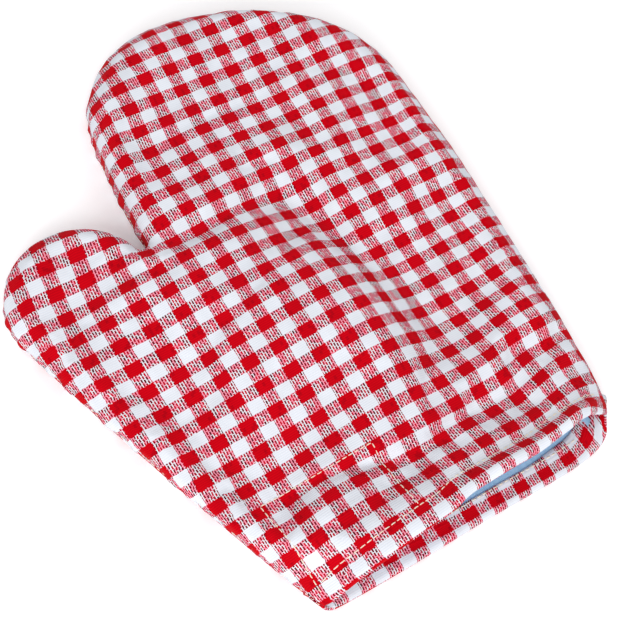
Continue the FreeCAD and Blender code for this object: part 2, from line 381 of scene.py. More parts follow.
def crease(x, y, points, depth, width):
    """A soft valley along a line."""
    side, fade = beside(x, y, points)
    return -depth * bell(side / width) * fade


def ledge(x, y, points, drop, width):
    """A fall from the left of a line to its right, dying out away from it."""
    side, fade = beside(x, y, points)
    return 0.5 * drop * np.tanh(side / width) * np.exp(-(side / (5 * width)) ** 2) * fade


# Middle, reach across and along, height, and a power for those with a flat top
MOUNDS = [
    ((-12, -8), (36, 40), 3.8),
    ((-46, -34), (24, 42), -2.6),
    ((14, -55), (20, 36), 2.0),
    ((80, -32), (34, 30), -4.0, 4),
    ((56, -88), (16, 28), -1.6),
    ((-8, -80), (24, 14), -1.8),
    ((-68, -70), (16, 36), -3.0),
    ((19, 11), (15, 14), -3.4),
    ((30, 92), (66, 18), 2.4),
    ((-50, -88), (34, 16), -4.5),
    ((32, 14), (14, 20), -3.5),
    ((75, 80), (22, 40), 2.0),
    ((-35, -110), (22, 7), 3.5),
    ((-2, -118), (24, 8), -2.2),
    ((-66, -116), (12, 12), -2.2),
    ((82, -128), (14, 9), 2.6),
]

# Line, depth and width of each crease: by the thumb, over the fingers, and three by the cuff
CREASES = [
    ([(-52, 38), (-30, 30), (0, 30), (25, 27), (45, 24)], 4.0, 7.0),
    ([(-40, 76), (-10, 80), (60, 80)], 2.0, 12.0),
    ([(52, -112), (70, -116), (88, -116), (103, -112)], 2.4, 3.6),
    ([(66, -86), (82, -92), (96, -92), (106, -88)], 2.8, 3.6),
    ([(-62, -104), (-40, -101), (-16, -103), (6, -110)], 1.4, 3.2),
]

# The long fold down the middle, which falls away to the right
LEDGE = [(16, 18), (26, 0), (33, -30), (36, -60), (38, -92)]
LEDGE_DROP = -5.0
LEDGE_WIDTH = 7.0


def back_top(x, y):
    """Height of the back's outer face away from the edges: its mounds, folds and raised cuff."""
    z = np.full(np.shape(x), BACK_Z)
    for middle, reach, height, *power in MOUNDS:
        z += mound(x, y, middle, reach, height, *power)
    for line, depth, width in CREASES:
        z += crease(x, y, line, depth, width)
    z += ledge(x, y, LEDGE, LEDGE_DROP, LEDGE_WIDTH)
    tip_rise = 5.0 * smooth((y - 85) / 50)
    z += tip_rise * (0.6 + 0.4 * smooth((x + 40) / 90))
    thumb_fall = 6.0 * smooth((-36 - x) / 66)
    z -= thumb_fall * smooth((y + 90) / 60) * (1 - 0.5 * smooth((y - 20) / 40))
    side_fall = 1.5 * smooth((-58 - x) / 30)
    z -= side_fall * (1 - smooth((y + 60) / 60)) * smooth((y + 125) / 25)
    cuff_lift = 12.0 - 6.0 * smooth((-10 - x) / 50) - 4.0 * smooth((x - 35) / 40)
    return z + cuff_lift * smooth((-104 - y) / 32)


def palm_bottom(x, y):
    """Height of the palm's outer face: it lies on the floor, with small hollows under it."""
    flat = np.column_stack([x, y])
    return 0.9 * smooth(0.5 + wander(flat, 38.0, 7.3)) * smooth((y - CUFF_Y) / 40)


# ---- Panels of cloth ------------------------------------------------------------------

def rise(t, power):
    """The padded edge's section: 0 at the seam, 1 where it levels out."""
    return (1 - (1 - np.clip(t, 0, 1)) ** power) ** (1 / power)


def near_cuff(flat):
    """0 over the hand, 1 at the cuff."""
    return smooth((-108 - flat[:, 1]) / 30)


def puckers(gap, along, seed):
    """Small gathers where the side seam draws the cloth in."""
    pulls = wander(np.column_stack([along, gap * 0.4]), 7.0, seed)
    return 0.9 * pulls * np.exp(-gap / 7.0) * smooth(gap / 1.5)


def edged(flat, z_level, roll, power, seed):
    """The points in space for a panel whose middle has height z_level."""
    gap, place, along = nearest(flat, SEAM)
    height = SEAM_Z + (z_level - SEAM_Z) * rise(gap / roll, power)
    height += np.sign(z_level - SEAM_Z) * puckers(gap, along, seed)
    out = -SEAM_DIP * np.exp(-(gap / 0.8) ** 2) + SEAM_BULGE * np.exp(-((gap - 2.6) / 2.0) ** 2)
    outward = place - flat
    size = np.linalg.norm(outward, axis=1)
    on_seam = size < 1e-6
    outward[~on_seam] /= size[~on_seam, None]
    if on_seam.any():
        which = np.argmin(np.linalg.norm(SEAM[None] - flat[on_seam][:, None], axis=2), axis=1)
        outward[on_seam] = SEAM_OUT[which]
    return np.column_stack([flat + out[:, None] * outward, height])


def back_face(flat):
    """The back's outer face over plan points."""
    x, y = flat.T
    cuff = near_cuff(flat)
    wide = np.maximum(smooth((y - 90) / 30), smooth((x - 60) / 20))
    roll = BACK_ROLL + (TIP_ROLL - BACK_ROLL) * wide
    roll = roll + (CUFF_ROLL - roll) * cuff
    space = edged(flat, back_top(x, y), roll, ROLL_POWER + (CUFF_POWER - ROLL_POWER) * cuff, 1.7)
    lip_gap = nearest(flat, BACK_EDGE_LINE)[0] + HEM_THICK / 2
    slack = smooth((x - 5) / 30)
    valley = (0.8 + 2.4 * slack) * bell((lip_gap - HEM_STITCH) / 2.6)
    crest = (0.4 + 1.4 * slack) * bell((lip_gap - 5.0) / 2.6)
    space[:, 2] += (crest - valley) * smooth(nearest(flat, SEAM)[0] / 14)
    return space


def palm_face(flat):
    """The palm's outer face over plan points."""
    x, y = flat.T
    roll = PALM_ROLL + (PALM_CUFF_ROLL - PALM_ROLL) * near_cuff(flat)
    space = edged(flat, palm_bottom(x, y), roll, 2.0, 5.1)
    lip_gap = nearest(flat, PALM_EDGE_LINE)[0] + HEM_THICK / 2
    space[:, 2] += THREAD_GROOVE * bell((lip_gap - HEM_STITCH) / 1.6)
    return space


BACK_EDGE_LINE = lip_line(BACK_LIP)
PALM_EDGE_LINE = lip_line(PALM_LIP)


def plan_points(edge):
    """Points of a panel in plan: its border, rings along seam and cuff, and an even middle."""
    border = np.vstack([SEAM[:-1], edge[:-1]])
    rings = [SEAM - SEAM_OUT * inset for inset in SEAM_RINGS]
    wide = []
    for ring, inset in zip(rings, SEAM_RINGS):
        seam_gap = nearest(ring, SEAM)[0]
        lip_gap = nearest(ring, edge)[0]
        keep = (seam_gap > 0.93 * inset) & (lip_gap > 1.0) & inside(ring, border)
        wide.append(ring[keep])
    across = sideways(edge)
    for inset in LIP_RINGS:
        ring = edge + across * inset
        seam_gap = nearest(ring, SEAM)[0]
        keep = (seam_gap > SEAM_RINGS[-1] + 1.2) & inside(ring, border)
        wide.append(ring[keep])
    low, high = border.min(axis=0), border.max(axis=0)
    rows = []
    for row, y in enumerate(np.arange(low[1], high[1], GRID_STEP * 0.866)):
        xs = np.arange(low[0] + (row % 2) * GRID_STEP / 2, high[0], GRID_STEP)
        rows.append(np.column_stack([xs, np.full(len(xs), y)]))
    middle = np.vstack(rows)
    clear = nearest(middle, SEAM)[0] > SEAM_RINGS[-1] + 2.0
    clear &= nearest(middle, edge)[0] > LIP_RINGS[-1] + 2.0
    clear &= inside(middle, border)
    return border, np.vstack([*wide, middle[clear]])


def triangulate(border, others):
    """Triangles over a panel, anticlockwise in plan, with the border's points first."""
    count = len(border)
    ring = [(k, (k + 1) % count) for k in range(count)]
    points = [Vector(p) for p in np.vstack([border, others])]
    found = delaunay_2d_cdt(points, ring, [list(range(count))], 1, 1e-5)
    flat = np.array([tuple(v) for v in found[0]])
    triangles = np.array([t for t in found[2] if len(t) == 3])
    a, b, c = flat[triangles[:, 0]], flat[triangles[:, 1]], flat[triangles[:, 2]]
    area = (b[:, 0] - a[:, 0]) * (c[:, 1] - a[:, 1]) - (b[:, 1] - a[:, 1]) * (c[:, 0] - a[:, 0])
    triangles[area < 0] = triangles[area < 0][:, ::-1]
    return flat, triangles[np.abs(area) > 1e-6]


def face_normals(space_of, flat, outward):
    """Unit normals of a panel's face over plan points, on its outer side."""
    reach = 1.0
    dx = space_of(flat + [reach, 0]) - space_of(flat - [reach, 0])
    dy = space_of(flat + [0, reach]) - space_of(flat - [0, reach])
    normal = np.cross(dx, dy)
    normal /= np.linalg.norm(normal, axis=1)[:, None]
    return normal * np.sign(normal[:, 2:3]) * outward


class Panel:
    """One side of the mitt: plan points, points in space, triangles, normals and hem."""

    def __init__(self, edge, space_of, outward):
        border, others = plan_points(edge)
        self.edge = edge
        self.outward = outward
        self.space_of = space_of
        self.flat, self.triangles = triangulate(border, others)
        self.seam_gap = nearest(self.flat, SEAM)[0]
        self.lip_gap = nearest(self.flat, edge)[0]
        self.space = space_of(self.flat)
        self.normal = self.smooth_normals()

    def smooth_normals(self):
        """Vertex normals on the outer side, from the triangles round each vertex."""
        a, b, c = (self.space[self.triangles[:, k]] for k in range(3))
        face = np.cross(b - a, c - a) * self.outward
        normal = np.zeros_like(self.space)
        for k in range(3):
            for axis in range(3):
                normal[:, axis] += np.bincount(self.triangles[:, k], face[:, axis],
                                               len(self.space))
        return normal / np.linalg.norm(normal, axis=1)[:, None]

    def settle(self):
        """Lets the cloth buckle over the wadding: a pinned cloth simulation, slightly too large."""
        sheet = make_object("settling", self.space, self.turned(self.triangles))
        loose = smooth((self.seam_gap - 1.0) / SEAM_FREE)
        loose = loose * smooth((self.lip_gap - LIP_HOLD) / LIP_FREE)
        grip = sheet.vertex_groups.new(name="grip")
        for index, free in enumerate(loose):
            grip.add([index], float(1 - (1 - SUPPORT) * free), "REPLACE")
        cloth = sheet.modifiers.new("cloth", "CLOTH")
        for name, value in CLOTH_FEEL.items():
            setattr(cloth.settings, name, value)
        cloth.settings.effector_weights.gravity = 0
        cloth.collision_settings.use_collision = False
        cloth.point_cache.frame_start = 1
        cloth.point_cache.frame_end = SETTLE_FRAMES
        for step in range(1, SETTLE_FRAMES + 1):
            bpy.context.scene.frame_set(step)
        done = sheet.evaluated_get(bpy.context.evaluated_depsgraph_get())
        points = np.empty(len(done.data.vertices) * 3, np.float32)
        done.data.vertices.foreach_get("co", points)
        move = points.reshape(-1, 3) / MM - self.space
        bpy.data.objects.remove(sheet)
        bpy.context.scene.frame_set(1)
        size = np.linalg.norm(move, axis=1)[:, None]
        move *= np.minimum(1, SETTLE_CAP / np.maximum(size, 1e-6))
        self.space = self.space + move * loose[:, None]
        self.space[:, 2] = np.maximum(self.space[:, 2], 0.0)
        self.normal = self.smooth_normals()

    def turned(self, faces):
        """Faces given anticlockwise in plan, in the order that makes them face outwards."""
        return [list(face) if self.outward > 0 else list(face)[::-1] for face in faces]

    def layer(self, depth, seam_gap, lip_gap):
        """Points moved inwards by a depth, and the triangles clear of the seam and the cuff."""
        keep = (self.seam_gap >= seam_gap) & (self.lip_gap >= lip_gap)
        keep &= self.seam_gap + self.lip_gap >= CORNER_CLEAR
        used = self.triangles[keep[self.triangles].all(axis=1)]
        return self.space - self.normal * depth, used


def hem_direction(inward):
    """Unit directions in from the cuff's edge, turned along the side seams near both ends."""
    run = np.arange(len(inward)) * EDGE_STEP
    for gap, side in ((run, SEAM[-4] - SEAM[-1]), (run[::-1], SEAM[3] - SEAM[0])):
        share = np.exp(-gap / END_REACH)[:, None]
        inward = inward * (1 - share) + share * side / np.linalg.norm(side)
    return inward / np.linalg.norm(inward, axis=1)[:, None]


def hem_thickness(edge):
    """The hem's thickness along the cuff, pinched towards the side seams."""
    return np.minimum(HEM_THICK, 1.2 + 0.34 * nearest(edge, SEAM)[0])


def back_hem_depth(edge):
    """How deep the back's hem is along the cuff."""
    return np.full(len(edge), HEM_DEPTH)


def palm_hem_depth(edge):
    """How deep the palm's hem is along the cuff."""
    x = edge[:, 0]
    spread = PALM_HEM_SPREAD * smooth((x - PALM_SPREAD_X) / PALM_SPREAD_RUN)
    return PALM_HEM_DEPTH + spread + PALM_CORNER_SPREAD * smooth((x - PALM_CORNER_X) / PALM_CORNER_RUN)


def hem_of(panel, hem_depth):
    """Rows of points for the hem, from the cuff's edge round the fold and along the inside."""
    edge = panel.edge
    index = [int(np.argmin(np.linalg.norm(panel.flat - p, axis=1))) for p in edge]
    base = panel.space[index]
    normal = panel.normal[index]
    along = np.gradient(edge, axis=0)
    out = np.column_stack([along[:, 1], -along[:, 0], np.zeros(len(edge))])
    out -= normal * (out * normal).sum(axis=1)[:, None]
    out /= np.linalg.norm(out, axis=1)[:, None]
    thick = hem_thickness(edge)[:, None]
    radius = thick / 2
    rows, runs = [], []
    steps = 7
    for k in range(1, steps + 1):
        angle = math.pi * k / steps
        lift = (1 - math.cos(angle)) * radius
        rows.append(base - normal * lift + out * radius * math.sin(angle))
        runs.append(radius[:, 0] * angle)
    inward = hem_direction(-out[:, :2])
    reach = hem_depth(edge) - HEM_THICK / 2
    for share in np.linspace(0, 1, 6)[1:]:
        depth = share * reach
        flat = edge + inward * depth[:, None]
        space = panel.space_of(flat)
        normals = face_normals(panel.space_of, flat, panel.outward)
        rows.append(space - normals * thick)
        runs.append(radius[:, 0] * math.pi + depth)
    return index, rows, runs


def flattened(points, triangles, start):
    """Coordinates of the cloth laid flat with as little stretch as possible.

    Each triangle asks for its own shape, turned as it now lies, and one sparse solve joins them.
    """
    corner = points[triangles]
    first = corner[:, 1] - corner[:, 0]
    second = corner[:, 2] - corner[:, 0]
    length = np.linalg.norm(first, axis=1)
    along = (first * second).sum(axis=1) / length
    across = np.sqrt(np.maximum((second ** 2).sum(axis=1) - along ** 2, 1e-12))
    shape = np.zeros((len(triangles), 3, 2))
    shape[:, 1, 0] = length
    shape[:, 2, 0] = along
    now = start[triangles]
    turn = np.cross(now[:, 1] - now[:, 0], now[:, 2] - now[:, 0])
    shape[:, 2, 1] = across * np.where(turn < 0, -1, 1)
    ends, weights, wants = [], [], []
    for k in range(3):
        i, j, o = k, (k + 1) % 3, (k + 2) % 3
        p, q = shape[:, i] - shape[:, o], shape[:, j] - shape[:, o]
        area = np.abs(p[:, 0] * q[:, 1] - p[:, 1] * q[:, 0])
        cot = np.clip((p * q).sum(axis=1) / np.maximum(area, 1e-9), 0.03, 8.0)
        ends.append((triangles[:, i], triangles[:, j]))
        weights.append(cot)
        wants.append(shape[:, i] - shape[:, j])
    count = len(points)
    i_all = np.concatenate([e[0] for e in ends])
    j_all = np.concatenate([e[1] for e in ends])
    w_all = np.concatenate(weights)

    def spread(values):
        """Adds each edge's values to its two ends, with opposite signs."""
        total = np.empty((count, 2))
        for axis in range(2):
            total[:, axis] = (np.bincount(i_all, values[:, axis], count)
                              - np.bincount(j_all, values[:, axis], count))
        return total

    def laplace(x):
        """Each point's weighted differences from its neighbours."""
        return spread(w_all[:, None] * (x[i_all] - x[j_all]))

    flat = start.copy()
    for _ in range(TURN_ROUNDS):
        now = flat[triangles]
        cover = np.zeros((len(triangles), 2, 2))
        for k in range(3):
            edge = now[:, k] - now[:, (k + 1) % 3]
            cover += weights[k][:, None, None] * edge[:, :, None] * wants[k][:, None, :]
        angle = np.arctan2(cover[:, 1, 0] - cover[:, 0, 1], cover[:, 0, 0] + cover[:, 1, 1])
        cos, sin = np.cos(angle), np.sin(angle)
        turned = []
        for want in wants:
            turned.append(np.column_stack([cos * want[:, 0] - sin * want[:, 1],
                                           sin * want[:, 0] + cos * want[:, 1]]))
        target = spread(w_all[:, None] * np.concatenate(turned))
        rest = target - laplace(flat)
        step = rest.copy()
        size = (rest ** 2).sum()
        for _ in range(SOLVE_STEPS):
            move = laplace(step)
            share = size / max((step * move).sum(), 1e-12)
            flat = flat + share * step
            rest = rest - share * move
            fresh = (rest ** 2).sum()
            if fresh < 1e-8:
                break
            step = rest + step * (fresh / size)
            size = fresh
    return flat


# ---- Meshes ---------------------------------------------------------------------------

def make_object(name, points, faces, coordinates=None):
    """A smooth-shaded object from points in millimetres, keeping only the points in use."""
    used = np.unique(np.concatenate([np.ravel(f) for f in faces]))
    renumber = np.full(len(points), -1)
    renumber[used] = np.arange(len(used))
    mesh = bpy.data.meshes.new(name)
    mesh.from_pydata((points[used] * MM).tolist(), [],
                     [[int(renumber[v]) for v in face] for face in faces])
    mesh.validate()
    mesh.polygons.foreach_set("use_smooth", np.ones(len(mesh.polygons), bool))
    if coordinates is not None:
        attribute = mesh.attributes.new("cloth", "FLOAT_VECTOR", "POINT")
        packed = np.zeros((len(used), 3), np.float32)
        packed[:, :2] = coordinates[used]
        attribute.data.foreach_set("vector", packed.ravel())
    mesh.update()
    piece = bpy.data.objects.new(name, mesh)
    bpy.context.scene.collection.objects.link(piece)
    return piece


def finish_piece(piece, material, nodes, depth=None, levels=0):
    """Gives a piece its thickness, smoothing, material and body, and hides the CAD nodes it stands
    for.
    """
    if levels:
        fine = piece.modifiers.new("fine", "SUBSURF")
        fine.levels = levels
        fine.render_levels = levels
    if depth:
        thick = piece.modifiers.new("thickness", "SOLIDIFY")
        thick.thickness = depth * MM
        thick.offset = -1.0
        thick.use_rim = True
    piece.data.materials.append(material)
    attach(piece, BODY)
    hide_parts(*nodes)
    return piece


def drift(flat, on_back):
    """How far the checks lie from where the cloth, laid on without pulling, would carry them."""
    x, y = flat.T
    hand = smooth((75 - y) / 60)
    cuff = smooth((-112 - y) / 25)
    across = -1.6 * bell((y - 25) / 40)
    across += 2.0 * smooth((y - 75) / 30) * smooth((30 - x) / 50)
    across -= 3.0 * smooth((-50 - x) / 40) * bell((y - 2) / 30)
    across += 1.0 * smooth((10 - x) / 50) * smooth((-80 - y) / 30)
    across -= 3.6 * smooth((x - 10) / 85) * cuff
    along = np.where(x < 12, 0.042, 0.018) * (x - 12) * hand
    if on_back:
        along += 3.8 * smooth((x - 52) / 38) * smooth((-55 - y) / 45)
    along -= 0.6 * smooth((y - 30) / 30)
    along -= 2.4 * bell((x + 25) / 24) * cuff
    return np.column_stack([across, along])


def thread_lines(panel):
    """The panel's cloth coordinates: laid flat, set straight over the hand, then pulled about."""
    cloth = flattened(panel.space, panel.triangles, panel.flat)
    middle = (np.abs(panel.flat[:, 0] - 25) < 60) & (np.abs(panel.flat[:, 1]) < 80)
    here = cloth[middle] - cloth[middle].mean(axis=0)
    there = panel.flat[middle] - panel.flat[middle].mean(axis=0)
    turn = math.atan2(np.sum(here[:, 0] * there[:, 1] - here[:, 1] * there[:, 0]),
                      np.sum(here * there))
    spin = np.array([[math.cos(turn), math.sin(turn)], [-math.sin(turn), math.cos(turn)]])
    cloth = (cloth - cloth[middle].mean(axis=0)) @ spin + panel.flat[middle].mean(axis=0)
    return cloth - drift(panel.flat, panel.outward > 0)


def cloth_piece(name, panel, hem_depth):
    """A panel's outer cloth with its hem, and its cloth coordinates."""
    index, rows, runs = hem_of(panel, hem_depth)
    points = [panel.space]
    cloth = [panel.cloth]
    faces = [list(t) for t in panel.triangles]
    before = index
    total = len(panel.space)
    for row, run in zip(rows, runs):
        points.append(row)
        cloth.append(cloth[0][index] - np.column_stack([0 * run, run]))
        after = list(range(total, total + len(row)))
        total += len(row)
        for k in range(len(row) - 1):
            faces.append([before[k], after[k], after[k + 1], before[k + 1]])
        before = after
    return make_object(name, np.vstack(points), panel.turned(faces), np.vstack(cloth))


# ---- Materials ------------------------------------------------------------------------

class Nodes:
    """Short ways to build a material's nodes."""

    def __init__(self, name):
        self.material = bpy.data.materials.new(name)
        self.material.use_nodes = True
        self.tree = self.material.node_tree
        self.shader = self.tree.nodes["Principled BSDF"]

    def add(self, kind, **settings):
        node = self.tree.nodes.new(kind)
        for key, value in settings.items():
            setattr(node, key, value)
        return node

    def put(self, value, socket):
        """Links an output, or sets a plain value."""
        if isinstance(value, bpy.types.NodeSocket):
            self.tree.links.new(value, socket)
        else:
            socket.default_value = value

    def math(self, operation, *values):
        node = self.add("ShaderNodeMath", operation=operation)
        for value, socket in zip(values, node.inputs):
            self.put(value, socket)
        return node.outputs[0]

    def mix(self, share, first, second):
        """A colour between two others."""
        node = self.add("ShaderNodeMix", data_type="RGBA")
        self.put(share, node.inputs[0])
        self.put(first, node.inputs[6])
        self.put(second, node.inputs[7])
        return node.outputs[2]

    def step(self, value, edges, levels):
        """A soft step of a value between two edges, from one level to another."""
        node = self.add("ShaderNodeMapRange", interpolation_type="SMOOTHSTEP")
        for slot, number in zip(node.inputs, (value, *edges, *levels)):
            self.put(number, slot)
        return node.outputs[0]

    def cloth_axes(self):
        """The cloth's own coordinates in millimetres: across and along."""
        source = self.add("ShaderNodeAttribute", attribute_name="cloth")
        split = self.add("ShaderNodeSeparateXYZ")
        self.put(source.outputs["Vector"], split.inputs[0])
        return split.outputs[0], split.outputs[1]

    def grid_noise(self, across, along, layer):
        """A random number for each cell of a grid."""
        where = self.add("ShaderNodeCombineXYZ")
        self.put(across, where.inputs[0])
        self.put(along, where.inputs[1])
        self.put(float(layer), where.inputs[2])
        node = self.add("ShaderNodeTexWhiteNoise", noise_dimensions="3D")
        self.put(where.outputs[0], node.inputs[0])
        return node.outputs[0]

    def soft_noise(self, across, along, scale):
        """Smooth noise over the cloth."""
        where = self.add("ShaderNodeCombineXYZ")
        self.put(across, where.inputs[0])
        self.put(along, where.inputs[1])
        node = self.add("ShaderNodeTexNoise")
        self.put(where.outputs[0], node.inputs["Vector"])
        node.inputs["Scale"].default_value = scale
        node.inputs["Detail"].default_value = 2.0
        return node.outputs[0]

    def bump(self, height, distance, strength):
        """Small relief, distance millimetres high."""
        node = self.add("ShaderNodeBump")
        node.inputs["Strength"].default_value = strength
        node.inputs["Distance"].default_value = distance * MM
        self.put(height, node.inputs["Height"])
        self.put(node.outputs[0], self.shader.inputs["Normal"])

    def fabric(self, sheen=0.1, shine=0.15):
        """A cloth's sheen and shine."""
        self.shader.inputs["Sheen Weight"].default_value = sheen
        self.shader.inputs["Sheen Roughness"].default_value = 0.5
        self.shader.inputs["Specular IOR Level"].default_value = shine


def rgb(red, green, blue):
    """A display colour, 0 to 255, as the linear colour that shaders use."""
    linear = []
    for level in (red, green, blue):
        share = level / 255
        linear.append(share / 12.92 if share <= 0.04045 else ((share + 0.055) / 1.055) ** 2.4)
    return (*linear, 1.0)


RED = rgb(196, 0, 16)
WHITE = rgb(222, 224, 230)
MAROON = rgb(80, 0, 16)
CRIMSON = rgb(186, 0, 34)
PINK = rgb(240, 148, 168)
RED_GROOVE_SHADE = rgb(140, 0, 18)        # painted shade in the grooves between the ribs of the red checks
# painted shade in the grooves between the ribs of the white checks
WHITE_GROOVE_SHADE = rgb(188, 202, 222)
LINING_BLUE = rgb(176, 214, 240)
# painted shade in the hollows of the lining's weave, and the darker tone of its random slubs
LINING_SHADE_AND_SLUB = rgb(140, 184, 220)
DASH_PITCH = 1.2                   # from one dyed yarn to the next, across a mixed check
DASH_SHARE = 0.62                  # how much of that the dyed yarn fills
DASH_LONG = 1.85                   # from one float of a yarn to its next
DASH_FILL = 0.85                   # how much of that the float fills
RIB = 1.0                          # from rib to rib, along the mitt


def stripe(n, place):
    """1 on a red stripe and 0 on a white one."""
    off = n.math("ABSOLUTE", n.math("SUBTRACT", n.math("FRACT", n.math("ADD", place, 0.5)), 0.5))
    return n.math("LESS_THAN", off, 0.25)


def stripes(n, across, along, row_y):
    """The red stripes along and across the mitt, with slightly uneven edges."""
    fray_a = n.grid_noise(n.math("FLOOR", n.math("DIVIDE", along, 0.6)), 0.0, 3)
    fray_b = n.grid_noise(n.math("FLOOR", n.math("DIVIDE", across, 0.5)), 0.0, 5)
    column = n.math("DIVIDE", n.math("SUBTRACT", across, COLUMN_X), REPEAT_X)
    row = n.math("DIVIDE", n.math("SUBTRACT", along, row_y), REPEAT_Y)
    column = n.math("MULTIPLY_ADD", n.math("SUBTRACT", fray_a, 0.5), 0.016, column)
    row = n.math("MULTIPLY_ADD", n.math("SUBTRACT", fray_b, 0.5), 0.02, row)
    return stripe(n, column), stripe(n, row)


def mixed_check(n, across, along):
    """Short floats of dyed yarn on white, and a random number for each float."""
    yarns = n.math("DIVIDE", across, DASH_PITCH)
    yarn = n.math("FLOOR", yarns)
    brick = n.math("MULTIPLY", n.math("MODULO", n.math("ABSOLUTE", yarn), 2.0), 0.5)
    shift = n.math("MULTIPLY_ADD", n.grid_noise(yarn, 0.0, 11), 0.35, brick)
    floats = n.math("ADD", n.math("DIVIDE", along, DASH_LONG), shift)
    pick = n.grid_noise(yarn, n.math("FLOOR", floats), 1)
    gap_pick = n.grid_noise(yarn, n.math("FLOOR", floats), 2)
    dyed = n.math("MULTIPLY", n.math("LESS_THAN", n.math("FRACT", yarns), DASH_SHARE),
                  n.math("LESS_THAN", n.math("FRACT", floats), DASH_FILL))
    light = n.mix(n.math("LESS_THAN", gap_pick, 0.5), WHITE, PINK)
    return n.mix(dyed, light, n.mix(pick, MAROON, CRIMSON)), pick


def gingham(name, row_y):
    """Yarn-dyed check: red, white, and mixed checks where dyed yarn crosses white yarn."""
    n = Nodes(name)
    across, along = n.cloth_axes()
    in_column, in_row = stripes(n, across, along, row_y)
    dashes, pick = mixed_check(n, across, along)
    both = n.math("MULTIPLY", in_column, in_row)
    either = n.math("MAXIMUM", in_column, in_row)
    mixed = n.math("SUBTRACT", either, both)
    rib_wave = n.math("SINE", n.math("MULTIPLY", along, 2 * math.pi / RIB))
    rib = n.math("MULTIPLY_ADD", rib_wave, 0.5, 0.5)
    # Painted shade: the red and white checks are coloured darker between the ribs, where the grooves
    # lie
    between = n.math("SUBTRACT", 1.0, rib)
    red = n.mix(n.math("MULTIPLY", between, 0.35), RED, RED_GROOVE_SHADE)
    red = n.mix(n.math("MULTIPLY", n.math("LESS_THAN", pick, 0.12), 0.25), red, MAROON)
    white = n.mix(n.math("MULTIPLY", between, 0.30), WHITE, WHITE_GROOVE_SHADE)
    colour = n.mix(mixed, n.mix(both, white, red), dashes)
    tinted = n.add("ShaderNodeHueSaturation")
    n.put(n.step(n.soft_noise(across, along, 0.06), (0.3, 0.7), (0.94, 1.03)),
          tinted.inputs["Value"])
    n.put(colour, tinted.inputs["Color"])
    n.put(tinted.outputs[0], n.shader.inputs["Base Color"])
    yarn_wave = n.math("SINE", n.math("MULTIPLY", across, 4 * math.pi / DASH_PITCH))
    height = n.math("ADD", n.math("MULTIPLY", rib, 0.7),
                    n.math("MULTIPLY", n.math("MULTIPLY_ADD", yarn_wave, 0.5, 0.5), 0.35))
    height = n.math("ADD", height, n.math("MULTIPLY", pick, n.math("MULTIPLY", mixed, 0.4)))
    n.bump(height, 0.10, 0.6)
    n.put(n.math("MULTIPLY_ADD", rib, -0.08, 0.88), n.shader.inputs["Roughness"])
    n.fabric(0.02, 0.04)
    return n.material


def plain_weave(name, colour, deep, pitch, depth):
    """A plain woven cloth of one colour."""
    n = Nodes(name)
    across, along = n.cloth_axes()
    wave_a = n.math("SINE", n.math("MULTIPLY", across, 2 * math.pi / pitch))
    wave_b = n.math("SINE", n.math("MULTIPLY", along, 2 * math.pi / pitch))
    weave = n.math("MULTIPLY_ADD", n.math("MULTIPLY", wave_a, wave_b), 0.5, 0.5)
    slub = n.grid_noise(n.math("FLOOR", n.math("DIVIDE", across, pitch)),
                        n.math("FLOOR", n.math("DIVIDE", along, 9.0)), 2)
    mixed = n.math("ADD", n.math("MULTIPLY", weave, 0.6), n.math("MULTIPLY", slub, 0.4))
    # Darker where the weave is low: painted shade in its hollows, together with random slubs that are
    # the yarn's own tone
    n.put(n.mix(mixed, deep, colour), n.shader.inputs["Base Color"])
    n.put(n.math("MULTIPLY_ADD", weave, -0.1, 0.85), n.shader.inputs["Roughness"])
    n.bump(weave, depth, 0.6)
    n.fabric()
    return n.material


def wadding_material():
    """Bonded cotton wadding: off-white, matted and fluffy."""
    n = Nodes("wadding_fluff")
    place = n.add("ShaderNodeTexCoord")
    coarse = n.add("ShaderNodeTexNoise")
    coarse.inputs["Scale"].default_value = 160.0
    coarse.inputs["Detail"].default_value = 6.0
    n.put(place.outputs["Object"], coarse.inputs["Vector"])
    n.put(n.mix(coarse.outputs[0], rgb(225, 222, 210), rgb(250, 249, 244)),
          n.shader.inputs["Base Color"])
    n.put(n.math("MULTIPLY_ADD", coarse.outputs[0], 0.1, 0.85), n.shader.inputs["Roughness"])
    n.bump(coarse.outputs[0], 0.6, 0.8)
    n.fabric(0.4)
    return n.material


def thread_material():
    """Cream sewing thread with its twist."""
    n = Nodes("cream_thread")
    across, along = n.cloth_axes()
    twist = n.math("SINE", n.math("MULTIPLY", n.math("ADD", along, n.math("MULTIPLY", across, 0.5)),
                                  2 * math.pi / 0.7))
    share = n.math("MULTIPLY_ADD", twist, 0.5, 0.5)
    # Darker in the grooves of the twist: painted shade
    n.put(n.mix(share, rgb(214, 196, 170), rgb(248, 238, 220)), n.shader.inputs["Base Color"])
    n.put(n.math("MULTIPLY_ADD", share, -0.15, 0.7), n.shader.inputs["Roughness"])
    n.bump(share, 0.08, 0.6)
    n.fabric(0.3)
    return n.material


# ---- Stitching ------------------------------------------------------------------------

def one_stitch(start, end, up):
    """The rings of points of one stitch between two needle holes, and their places on it."""
    run = end - start
    length = np.linalg.norm(run)
    aside = np.cross(run / length, up)
    aside /= np.linalg.norm(aside)
    points, places = [], []
    for ring in range(STITCH_RINGS):
        t = ring / (STITCH_RINGS - 1)
        bow = math.sin(math.pi * t)
        centre = start + run * (0.07 + 0.86 * t) + up * (STITCH_BOW * bow - STITCH_SINK)
        size = THREAD_RADIUS * (0.55 + 0.45 * bow ** 0.5)
        for side in range(STITCH_SIDES):
            angle = 2 * math.pi * side / STITCH_SIDES
            arm = aside * math.cos(angle) + up * math.sin(angle)
            points.append(centre + arm * size)
            places.append((side * 0.3, t * length))
    return points, places


